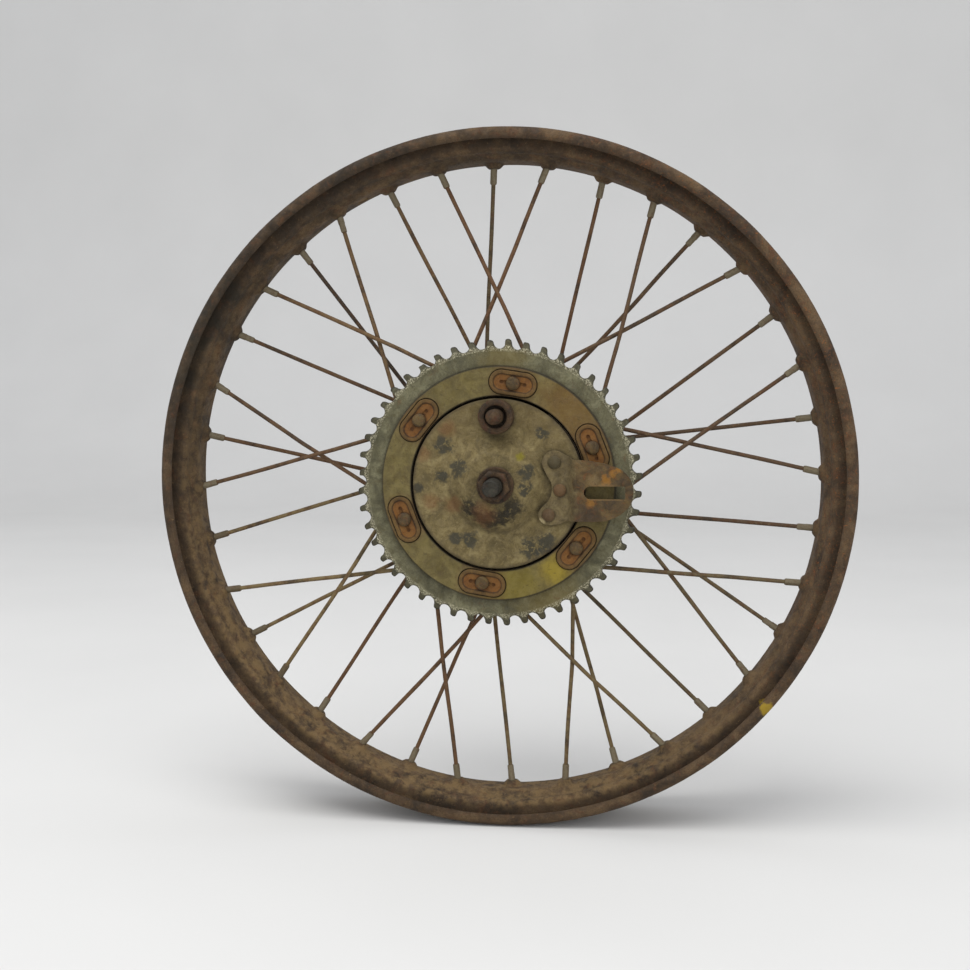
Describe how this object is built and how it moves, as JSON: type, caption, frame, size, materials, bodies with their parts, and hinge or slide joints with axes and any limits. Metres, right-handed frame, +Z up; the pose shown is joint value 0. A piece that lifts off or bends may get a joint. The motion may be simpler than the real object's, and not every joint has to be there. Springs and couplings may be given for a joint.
{
  "type": "motorcycle rear wheel",
  "caption": "Bare spoked rear wheel with steel drop-centre rim, chain sprocket bolted to the brake drum, brake plate with slotted torque arm, and threaded axle",
  "frame": {"origin": "centre of the wheel, on the spin axis in the middle plane of the rim", "axes": "+Y along the axle away from the brake and sprocket side, +Z up, +X to the right as seen from the brake side; the torque arm points to +X and the brake cam is above the axle"},
  "size_m": [0.4872, 0.162, 0.4872],
  "materials": {
    "rim_rust": "matt brown rust over old plating",
    "spoke_rust": "matt rusty wire",
    "nipple_steel": "dull dusty steel",
    "hub_steel": "dull dirty steel",
    "sprocket_steel": "worn grey zinc with oily grime",
    "ring_paint": "dirty olive yellow paint",
    "lock_rust": "orange rust",
    "bearing_steel": "polished bearing steel",
    "axle_rust": "dark red-brown rust",
    "plate_paint": "dusty beige with traces of blue-black paint",
    "arm_rust": "red-brown rust",
    "shoe_alloy": "cast, dull",
    "lining": "moulded friction material",
    "rivet_brass": "dull"
  },
  "bodies": {
    "axle_set": {"axle": "axle_rust", "axle_nut_left": "axle_rust", "axle_nut_right": "axle_rust", "washer_left": "axle_rust", "washer_right": "axle_rust", "spacer_left": "hub_steel", "spacer_right": "hub_steel", "distance_tube": "hub_steel", "bearing_inner_ring_left": "bearing_steel", "bearing_inner_ring_right": "bearing_steel", "brake_plate": "plate_paint", "cam_boss": "axle_rust", "torque_arm": "arm_rust", "arm_rivets": "arm_rust", "anchor_pin": "axle_rust", "spring_upper": "axle_rust", "spring_lower": "axle_rust"},
    "wheel": {"rim": "rim_rust", "nipples_brake_a": "nipple_steel", "nipples_brake_b": "nipple_steel", "nipples_far_a": "nipple_steel", "nipples_far_b": "nipple_steel", "spokes_brake_a": "spoke_rust", "spokes_brake_b": "spoke_rust", "spokes_far_a": "spoke_rust", "spokes_far_b": "spoke_rust", "hub_shell": "hub_steel", "sprocket": "sprocket_steel", "clamp_ring": "ring_paint", "lock_plates": "lock_rust", "sprocket_bolts": "lock_rust", "bearing_outer_ring_left": "bearing_steel", "bearing_outer_ring_right": "bearing_steel", "dust_cover_left": "hub_steel", "dust_cover_right": "hub_steel"},
    "ball_set_left": {"bearing_balls_left": "bearing_steel", "bearing_cage_left": "bearing_steel"},
    "ball_set_right": {"bearing_balls_right": "bearing_steel", "bearing_cage_right": "bearing_steel"},
    "cam": {"cam_spindle": "axle_rust"},
    "brake_shoe_right": {"shoe_right": "shoe_alloy", "lining_right": "lining", "lining_rivets_right": "rivet_brass"},
    "brake_shoe_left": {"shoe_left": "shoe_alloy", "lining_left": "lining", "lining_rivets_left": "rivet_brass"}
  },
  "joints": [
    {"name": "wheel_spin", "type": "hinge", "parent": "axle_set", "child": "wheel", "pos_m": [0, 0, 0], "axis": [0, 1, 0], "continuous": true},
    {"name": "balls_left_roll", "type": "hinge", "parent": "axle_set", "child": "ball_set_left", "pos_m": [0, -0.008, 0], "axis": [0, 1, 0], "continuous": true},
    {"name": "balls_right_roll", "type": "hinge", "parent": "axle_set", "child": "ball_set_right", "pos_m": [0, 0.03, 0], "axis": [0, 1, 0], "continuous": true},
    {"name": "cam_turn", "type": "hinge", "parent": "axle_set", "child": "cam", "pos_m": [0, -0.04, 0.0463], "axis": [0, 1, 0], "range_deg": [0, 10], "stiffness_Nm_per_rad": 4},
    {"name": "shoe_right_swing", "type": "hinge", "parent": "axle_set", "child": "brake_shoe_right", "pos_m": [0, -0.023, -0.0463], "axis": [0, 1, 0], "range_deg": [0, 0.66]},
    {"name": "shoe_left_swing", "type": "hinge", "parent": "axle_set", "child": "brake_shoe_left", "pos_m": [0, -0.023, -0.0463], "axis": [0, 1, 0], "range_deg": [-0.73, 0]}
  ],
  "couplings": [
    {"joint": "balls_left_roll", "follows": "wheel_spin", "ratio": 0.635},
    {"joint": "balls_right_roll", "follows": "wheel_spin", "ratio": 0.635},
    {"joint": "shoe_right_swing", "follows": "cam_turn", "ratio": 0.066},
    {"joint": "shoe_left_swing", "follows": "cam_turn", "ratio": -0.073}
  ]
}
